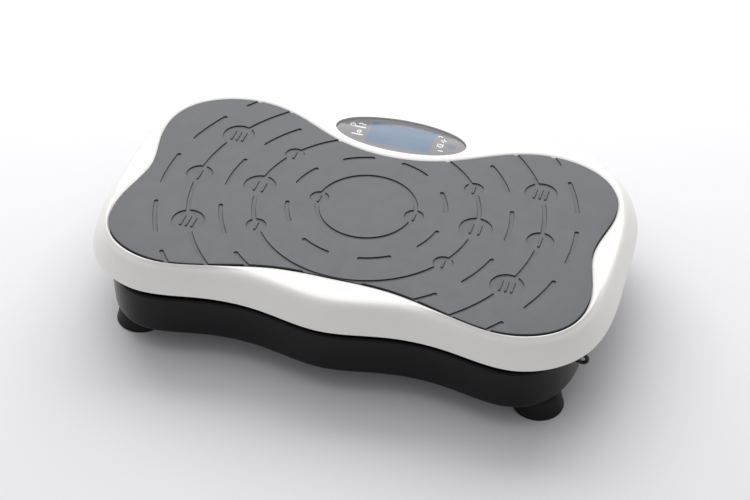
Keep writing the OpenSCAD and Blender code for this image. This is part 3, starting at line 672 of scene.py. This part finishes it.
outside_rings = smoothed(
    [
        level(ledge_line + 0.4 * rim_step, LEDGE),
        level(ledge_line + 0.25 * bevel * rim_step, RIM - 0.85),
        level(ledge_line + 0.55 * bevel * rim_step, RIM - 0.15),
        level(crest_line - 0.3 * bevel * rim_step, RIM - 1.05),
        level(crest_line, CREASE),
    ]
    + [skirt_ring(down, out) for down, out in skirt_stations]
    + [level(skirt_line, SKIRT + 1.2)],
    4,
)
lip_rings = [
    level(outward(skirt_line, -inset), SKIRT + rise)
    for inset, rise in [(0.15, 0.5), (0.5, 0.1), (1, 0), (1.7, 0), (2.3, 0.3), (WALL, 0.9)]
]
inside_rings = [skirt_ring(down, out, WALL) for down, out in skirt_stations[:0:-1]]
recess_rings = [
    level(ledge_line, DECK),
    level(ledge_line, LEDGE - 0.4),
    level(ledge_line + 0.1 * rim_step, LEDGE - 0.1),
]
top_rings = recess_rings + list(outside_rings) + lip_rings + inside_rings
top_rings.append(level(outward(crest_line, -WALL - 1.5), SHELL_UNDER))
print(len(top_rings), "rings of", OUTLINE, "points")


# %% Oval for the console, and the finished shell
def oval(width, depth, z, points=192):
    """A level ellipse round the console's middle."""
    angle = np.arange(points) * 2 * math.pi / points
    middle = console_middle / MM
    line = np.column_stack([width / 2 * np.cos(angle), depth / 2 * np.sin(angle)])
    return level(line + (middle.x, middle.y), z)


LENS_GAP = 0.3                      # the shell's hole is this much wider than the lens all round
lens_width, lens_depth = (lens_high - lens_low)[:2]
hole = (lens_width + 2 * LENS_GAP, lens_depth + 2 * LENS_GAP)
oval_cutter = piece_from("oval_cutter", loft([
    oval(*hole, RIM + 3),
    oval(*hole, lens_low.z),
]))
white_shell = piece_from("white_shell", loft(top_rings))
carve(white_shell, oval_cutter)
finish_piece(white_shell, "deck", white_abs, ["top_shell"])

# %% [markdown]
# ## The standing mat
#
# The mat is pressed in one go: three ring grooves, short arc-shaped slots and round dishes with
# small ribs, all sunk two millimetres. They could be a bump map, but a bump casts no shadow, and
# the dark hooks at the ends of the slots are what makes the pattern read. So the pattern is carved
# with cutters that flare at the top, which leaves a small shoulder along each edge.

# %% Mat body
GROOVE = 5.4                        # width of a groove
SUNK = 2.0                          # depth of the pattern
EDGE = 0.9                          # radius of the mat's top edge
RING_R = 225.0                      # radius of the outer groove ring
SHOULDER = 0.25                     # flare along a groove's edge
ring_radii = [0.278, 0.634, 1.0]    # as shares of RING_R

turn = np.radians([90, 67.5, 45, 22.5, 0])
mat_rings = [
    level(outward(mat_line, -EDGE * (1 - math.cos(a))), MAT_TOP - EDGE * (1 - math.sin(a)))
    for a in turn
]
mat_rings += [level(mat_line, DECK + 0.5), level(outward(mat_line, -0.5), DECK)]
standing_mat = piece_from("standing_mat", loft(mat_rings))
print("mat body", len(standing_mat.data.polygons), "faces")


# %% Cutters for grooves and slots
def wall_section(half_width):
    """Section of a cutter as (half width, height): a flare at the top, straight walls and a rounded
    floor."""
    floor = MAT_TOP - SUNK
    return [
        (half_width + 2 * SHOULDER, MAT_TOP + SHOULDER), (half_width, MAT_TOP - SHOULDER),
        (half_width, floor + 0.5), (half_width - 0.15, floor + 0.15), (half_width - 0.5, floor),
    ]


def circle(radius, z, points=256, middle=(0, RING_Y)):
    """A level circle round a point."""
    angle = np.arange(points) * 2 * math.pi / points
    return level(np.column_stack([np.cos(angle), np.sin(angle)]) * radius + middle, z)


def ring_groove(radius):
    """A ring-shaped cutter: the section on the outside of the radius, then mirrored on its inside."""
    section = wall_section(GROOVE / 2)
    outside = [circle(radius + w, z) for w, z in section]
    inside = [circle(radius - w, z) for w, z in section[::-1]]
    return loft(outside + inside, ends="joined")


def slot_line(radius, middle, span, half_width, arc_points=14, end_points=4):
    """Outline of a slot along an arc, angles in degrees: a quarter round from the tip, the arc moved
    out, a half round, the arc moved in, and a quarter round back to the tip."""
    a0, a1 = math.radians(middle - span / 2), math.radians(middle + span / 2)
    quarter = np.linspace(0, math.pi / 2, end_points, endpoint=False)
    half = np.linspace(0, math.pi, 2 * end_points + 1)[1:-1]
    arc = np.linspace(a0, a1, arc_points)

    def swing(centre_angle, turned):
        """Points of a round end: its middle lies on the arc, and each point is turned about it."""
        centre = radius * np.array([math.cos(centre_angle), math.sin(centre_angle)])
        return centre + half_width * np.column_stack([np.cos(turned), np.sin(turned)])

    return np.concatenate([
        swing(a0, a0 - math.pi / 2 + quarter),
        (radius + half_width) * np.column_stack([np.cos(arc), np.sin(arc)]),
        swing(a1, a1 + half),
        (radius - half_width) * np.column_stack([np.cos(arc[::-1]), np.sin(arc[::-1])]),
        swing(a0, a0 + math.pi + quarter[1:]),
    ])


def slot(radius, middle, span, side):
    """A slot-shaped cutter. The left side's slots are the right side's, mirrored by their angle."""
    centre = middle if side > 0 else 180 - middle
    section = wall_section(GROOVE / 2)
    rings = [level(slot_line(radius, centre, span, w) + (0, RING_Y), z) for w, z in section]
    return loft(rings, ends="strips")


groove_cutter = piece_from("groove_cutter", joined(
    [ring_groove(k * RING_R) for k in ring_radii]
    + [slot(0.447 * RING_R, -67.5 + 45 * k, 21, side) for k in range(4) for side in (1, -1)]
    + [slot(0.818 * RING_R, a, 17, side) for a in (-55, -25, 5.5, 35.7) for side in (1, -1)]
    + [slot(1.185 * RING_R, 21.4 * k, 12.8, side) for k in range(-2, 3) for side in (1, -1)]
))
carve(standing_mat, groove_cutter)
print("after the grooves", len(standing_mat.data.polygons), "faces")

# %% Dishes and their ribs
# share of RING_R, angle, dish radius, number of ribs, distance between ribs
dishes = [
    (0.278, 0, 12.4, 1, 0), (0.634, 0, 21, 2, 10.9), (0.634, 32, 12.6, 1, 0), (0.634, -32, 12.6, 1, 0),
    (1, 0, 17.3, 1, 0), (1, 24.3, 21, 3, 7.4), (1, -24.3, 21, 3, 7.4),
]
RIB = 2.8                           # width of a rib


def dish_middle(share, angle, side):
    """Where a dish lies: on a groove ring, at an angle from the right or the left."""
    a = math.radians(angle)
    return np.array([side * share * RING_R * math.cos(a), RING_Y + share * RING_R * math.sin(a)])


def straight_slot(middle, length, half_width, z, end_points=10):
    """A level outline of a bar with half-round ends, lying along Y."""
    half = np.linspace(0, math.pi, end_points)
    ends = half_width * np.column_stack([np.cos(half), np.sin(half)])
    shift = np.array([0, length / 2 - half_width])
    return level(np.concatenate([ends + shift, -ends - shift]) + middle, z)


def rib(middle, length):
    """A bar with a rounded top that stands on the dish's floor, just below the mat's top."""
    floor, top = MAT_TOP - SUNK, MAT_TOP - 0.3
    section = [
        (RIB / 2 - 0.9, top), (RIB / 2 - 0.35, top - 0.15),
        (RIB / 2, top - 0.6), (RIB / 2 + 0.1, floor - 0.3),
    ]
    return loft([straight_slot(middle, length - 2 * (RIB / 2 - w), w, z) for w, z in section])


dish_cutter = piece_from("dish_cutter", joined([
    loft([circle(w, z, 96, dish_middle(share, angle, side)) for w, z in wall_section(radius)])
    for share, angle, radius, _, _ in dishes for side in (1, -1)
]))
carve(standing_mat, dish_cutter)
rib_shapes = joined([
    rib(dish_middle(share, angle, side) + ((k - (count - 1) / 2) * pitch, 0), 2 * min(10, 0.62 * radius))
    for share, angle, radius, count, pitch in dishes for side in (1, -1) for k in range(count)
])
mat_ribs = piece_from("mat_ribs", rib_shapes)
finish_piece(standing_mat, "deck", grey_rubber, ["deck_mat"], 28)
finish_piece(mat_ribs, "deck", grey_rubber, ["deck_mat"], 40)

# %% [markdown]
# ## The console
#
# The lens is a flat oval of clear plastic let into the shell, with a polished edge. Its printed
# signs are raised by a hair so that the render never has to choose between two surfaces in one
# place. They are plain generic signs: a switch mark, two pictures with a bar under each, an
# arrow, a plus, a start mark and a minus.

# %% Lens
LENS_EDGE = 0.5
console_lens = piece_from("console_window", loft([
    oval(lens_width - 2 * LENS_EDGE * (1 - math.cos(a)), lens_depth - 2 * LENS_EDGE * (1 - math.cos(a)),
         lens_high.z - LENS_EDGE * (1 - math.sin(a)))
    for a in turn
] + [oval(lens_width, lens_depth, lens_low.z + 0.05)]))
finish_piece(console_lens, "deck", console_lens_finish, ["console_lens"])


# %% Printed signs
def printed_white():
    """Screen-printed ink: flat off-white, a little rough, with thin spots where the mesh left less ink."""
    material, tree, shader, place = new_finish("printed_white_ink", Roughness=0.5)
    mottled(tree, shader, place, "#F4F4F4", "#FCFCFC", 1.5)
    return material


def stroke(start, end, width, points=9):
    """Level outline of a straight line of ink with round ends, in the console's own millimetres.
    It starts at the tip of its far end, half way round that end's half circle."""
    start, end = np.array(start, float), np.array(end, float)
    heading = math.atan2(*(end - start)[::-1])
    turned = heading - math.pi / 2 + np.linspace(0, math.pi, points)
    first = end + width / 2 * np.column_stack([np.cos(turned), np.sin(turned)])
    second = start - width / 2 * np.column_stack([np.cos(turned), np.sin(turned)])
    return np.roll(np.concatenate([first, second]), -(points // 2), axis=0)


def arc_stroke(middle, radius, centre_angle, span, width):
    """Level outline of a curved line of ink."""
    return slot_line(radius, centre_angle, span, width / 2, 20, 3) + middle


SIGNS = [
    # switch mark: a broken ring and a bar
    arc_stroke((-69, 8.5), 3, 270, 290, 1), stroke((-69, 9.2), (-69, 12.8), 1),
    # a wave over a bar
    stroke((-61, 12.2), (-56.8, 14.6), 1.7), stroke((-56.8, 14.6), (-56, 10.4), 1.4),
    stroke((-56, 10.4), (-52.4, 12), 1.7),
    stroke((-64.5, 5.4), (-51, 5.4), 2.1),
    # a clock over a bar
    arc_stroke((-56.5, -4.2), 2.6, 90, 340, 1.4), stroke((-56.5, -4.2), (-54.6, -4.2), 1.2),
    stroke((-64.5, -10.6), (-50.5, -10.6), 2.1),
    # arrow up
    stroke((47.8, 15.8), (50.4, 18.8), 1.5), stroke((50.4, 18.8), (53, 15.8), 1.5),
    # plus
    stroke((53.8, 8.4), (60.2, 8.4), 1.8), stroke((57, 5.2), (57, 11.6), 1.8),
    # start mark: two uprights and a filled bar between them
    stroke((51.6, -6), (51.6, 0.8), 2), stroke((58, -6), (58, 0.8), 2), stroke((52, 0), (57.6, 0), 1.8),
    stroke((52, -5.2), (57.6, -5.2), 1.8),
    # minus
    stroke((55.2, -13.4), (60.6, -13.4), 1.8),
]
INK = 0.06                          # thickness of the ink, half of it above the lens
ink_top = lens_high.z + INK / 2
console_xy = np.array([console_middle.x, console_middle.y]) / MM
white_ink = printed_white()
ink_shapes = [
    loft([level(sign + console_xy, ink_top), level(sign + console_xy, ink_top - INK)], ends="strips")
    for sign in SIGNS
]
console_signs = piece_from("console_signs", joined(ink_shapes))
finish_piece(console_signs, "deck", white_ink)

# %% [markdown]
# ## The base tray
#
# The tray is drawn like the shell: rings at a distance inside the base's own line. A soft shoulder
# shows just under the skirt, the wall leans in towards the floor, and the bottom edge is rounded.
# A quarter ellipse between two points makes each round.


# %% Tray
def quarter(start, end, first_along_z, steps=6):
    """Points of a quarter ellipse between two (inset, height) points, leaving along the height or
    along the inset: one coordinate follows the sine of the turn and the other one minus its cosine."""
    a = np.linspace(0, math.pi / 2, steps + 1)[1:-1]
    fast, slow = np.sin(a), 1 - np.cos(a)
    by_inset, by_z = (slow, fast) if first_along_z else (fast, slow)
    inset = start[0] + (end[0] - start[0]) * by_inset
    z = start[1] + (end[1] - start[1]) * by_z
    return [start] + list(zip(inset, z)) + [end]


TRAY_FLOOR = base_low.z + 3
SHOULDER_Z = 96                     # top of the tray's wall, just under the skirt
tray_section = (
    [(7.9, TRAY_FLOOR), (6, TRAY_FLOOR + 2), (3.6, SHOULDER_Z - 5), (11, SHOULDER_Z - 2.4), (11, base_high.z)]
    + [(8.4, base_high.z), (8.4, SHOULDER_Z + 0.6), (7.8, SHOULDER_Z)]
    + quarter((5, SHOULDER_Z), (0, SHOULDER_Z - 5), False)
    + [(1.1, base_low.z + 14)]
    + quarter((1.4, base_low.z + 4), (4.9, base_low.z), True)
)
base_tray = piece_from("base_tray", loft([level(outward(base_line, -d), z) for d, z in tray_section]))
print("tray section of", len(tray_section), "points")

panel_low, panel_high = (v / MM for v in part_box("rear_panel"))
eyelet_low, eyelet_high = (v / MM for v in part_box("eyelets"))


def cuboid(low, high):
    """A closed box between two corners, as two square rings."""
    square = np.array([(high[0], low[1]), (high[0], high[1]), (low[0], high[1]), (low[0], low[1])])
    return loft([level(square, high[2]), level(square, low[2])])


GAP = 0.2                           # space round the rear panel
carve(base_tray, piece_from("panel_cutter", cuboid(
    (panel_low.x - GAP, panel_low.y - 2, panel_low.z - GAP),
    (panel_high.x + GAP, panel_high.y + 10, panel_high.z + GAP),
)))

# %% [markdown]
# ## Suction feet, eyelets and the rear fittings
#
# A foot is turned: a profile swept round a vertical line. An eyelet is a ring whose section is a
# soft ellipse, on a short stem that passes through the tray's wall. The rear panel, inlet, rocker
# and screws already have their true shape as CAD nodes, so each is copied, its doubled points are
# merged, and its edges are given a small bevel that catches the light.


# %% Eyelets
def ring_along_y(middle, mean_radius, half_thick, half_deep, turns=72, section=24):
    """A ring round a line along Y: the section is an ellipse, half_thick across and half_deep along
    Y."""
    round_ring, round_section = np.meshgrid(
        np.arange(turns) * 2 * math.pi / turns, np.arange(section) * 2 * math.pi / section, indexing="ij")
    reach = mean_radius + half_thick * np.cos(round_section)
    points = np.stack([
        middle[0] + reach * np.cos(round_ring),
        middle[1] + half_deep * np.sin(round_section),
        middle[2] + reach * np.sin(round_ring),
    ], -1)
    return points.reshape(-1, 3), grid_faces(turns, section, closed_rows=True)[:, ::-1].tolist()


def along_x(shape, middle, towards):
    """A shape turned so that its Z axis lies along X, towards plus or minus X, and put at a place."""
    points, faces = shape
    turned = np.column_stack([towards * points[:, 2], towards * points[:, 1], -points[:, 0]])
    return turned + middle, faces


EYE_OUT, EYE_IN, EYE_DEEP = 8.6, 3.6, 4.5    # outer and inner radius, and size along Y
DIMPLE_GAP = 0.4                    # space between the ring and its slot in the wall
eye_z = (eyelet_low.z + eyelet_high.z) / 2
eye_y = (eyelet_low.y + eyelet_high.y) / 2
eye_x = eyelet_high.x - EYE_OUT
stem_profile = [(2.2, -EYE_IN - 0.8), (3.2, -EYE_IN - 2), (3.2, -20.6), (2.7, -21)]
stem = loft([circle(r, z, 48, (0, 0)) for r, z in stem_profile])
eye_mean, eye_half = (EYE_OUT + EYE_IN) / 2, (EYE_OUT - EYE_IN) / 2
eye_shapes = [
    ring_along_y((side * eye_x, eye_y, eye_z), eye_mean, eye_half, EYE_DEEP / 2) for side in (1, -1)
]
eye_shapes += [along_x(stem, (side * eye_x, eye_y, eye_z), side) for side in (1, -1)]
band_eyelets = piece_from("band_eyelets", joined(eye_shapes))
dimple_half = EYE_DEEP / 2 + DIMPLE_GAP
disc, disc_faces = loft([circle(EYE_OUT + DIMPLE_GAP, z, 72, (0, 0)) for z in (dimple_half, -dimple_half)])
disc_upright = np.column_stack([disc[:, 0], -disc[:, 2], disc[:, 1]])
for side in (1, -1):
    dimple = (disc_upright + (side * eye_x, eye_y, eye_z), disc_faces)
    carve(base_tray, piece_from("dimple_cutter", dimple))
finish_piece(base_tray, "base", base_abs, ["base_shell"])
# the eyelets take the black nylon painted darker as shade
finish_piece(band_eyelets, "base", finishes["eyelet_nylon"], ["eyelets"])


# %% Feet
def suction_foot(node):
    """A foot turned round its own line: a stem, a cup that flares in one smooth curve, a rounded lip
    and a hollow underside."""
    low, high = (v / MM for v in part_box(node))
    middle = ((low.x + high.x) / 2, (low.y + high.y) / 2)
    lip = (high.x - low.x) / 2
    stem_profile = [(15.4, high.z), (16, high.z - 0.6)]
    cup_profile = [
        (16, 33), (lip - 15, 30.5), (lip - 10, 27), (lip - 5.5, 21),
        (lip - 3.2, 13), (lip - 1.2, 5), (lip - 0.1, 2.2),
    ]
    lip_profile = [
        (lip, 1.4), (lip - 0.2, 0.6), (lip - 0.8, 0.1), (lip - 1.6, 0),
        (lip - 5, 0), (24, 2.5), (16, 6), (5, 7.8),
    ]
    stem_rings, cup_rings, lip_rings = (
        [circle(r, z, 128, middle) for r, z in profile]
        for profile in (stem_profile, cup_profile, lip_profile)
    )
    rings = stem_rings + list(smoothed(cup_rings, 4)) + lip_rings
    return piece_from(node.replace("foot", "suction_foot"), loft(rings))


for node in ["foot_front_left", "foot_front_right", "foot_rear_left", "foot_rear_right"]:
    finish_piece(suction_foot(node), "base", foot_rubber, [node], 40)


# %% Bevelled copies of CAD nodes
WELD_M = 0.00001                    # doubled points closer than this, in metres, become one
BEVEL_FROM = 35                     # degrees: only edges sharper than this are bevelled


def softened(node, name, width_mm, segments=3):
    """A copy of a CAD node with its doubled points merged and its sharp edges bevelled."""
    mesh = nodes[node].data.copy()
    mesh.name = name
    piece = bpy.data.objects.new(name, mesh)
    bpy.context.scene.collection.objects.link(piece)
    weld = piece.modifiers.new("weld", "WELD")
    weld.merge_threshold = WELD_M
    bevel = piece.modifiers.new("bevel", "BEVEL")
    bevel.width = width_mm * MM
    bevel.segments = segments
    bevel.limit_method = "ANGLE"
    bevel.angle_limit = math.radians(BEVEL_FROM)
    bevel.use_clamp_overlap = True
    seen = piece.evaluated_get(bpy.context.evaluated_depsgraph_get())
    softer = bpy.data.meshes.new_from_object(seen)
    piece.modifiers.clear()
    piece.data = softer
    return piece


members_of = frame["record"]["behaviour"]["bodies"]
body_of = {node: body for body, members in members_of.items() for node in members}
slot_of = {part["node"]: part["material_slot"] for part in frame["record"]["subparts"]}
bevel_widths = {"rear_panel": 0.8, "power_inlet": 0.5, "power_rocker": 0.4, "base_screws": 0.4}
for node, width in bevel_widths.items():
    copy = softened(node, node + "_bevelled", width)
    finish_piece(copy, body_of[node], finishes[slot_of[node]], [node], 40)

# %% [markdown]
# ## The hidden drive
#
# The rest of the CAD nodes stay as they are, and each takes the finish of its own slot.

# %% Finishes on the CAD nodes
kept = [s for s in frame["record"]["subparts"] if not nodes[s["node"]].hide_render]
for subpart in kept:
    node = nodes[subpart["node"]]
    node.data.materials.clear()
    node.data.materials.append(finishes[subpart["material_slot"]])
print(len(kept), "CAD nodes keep their shape")
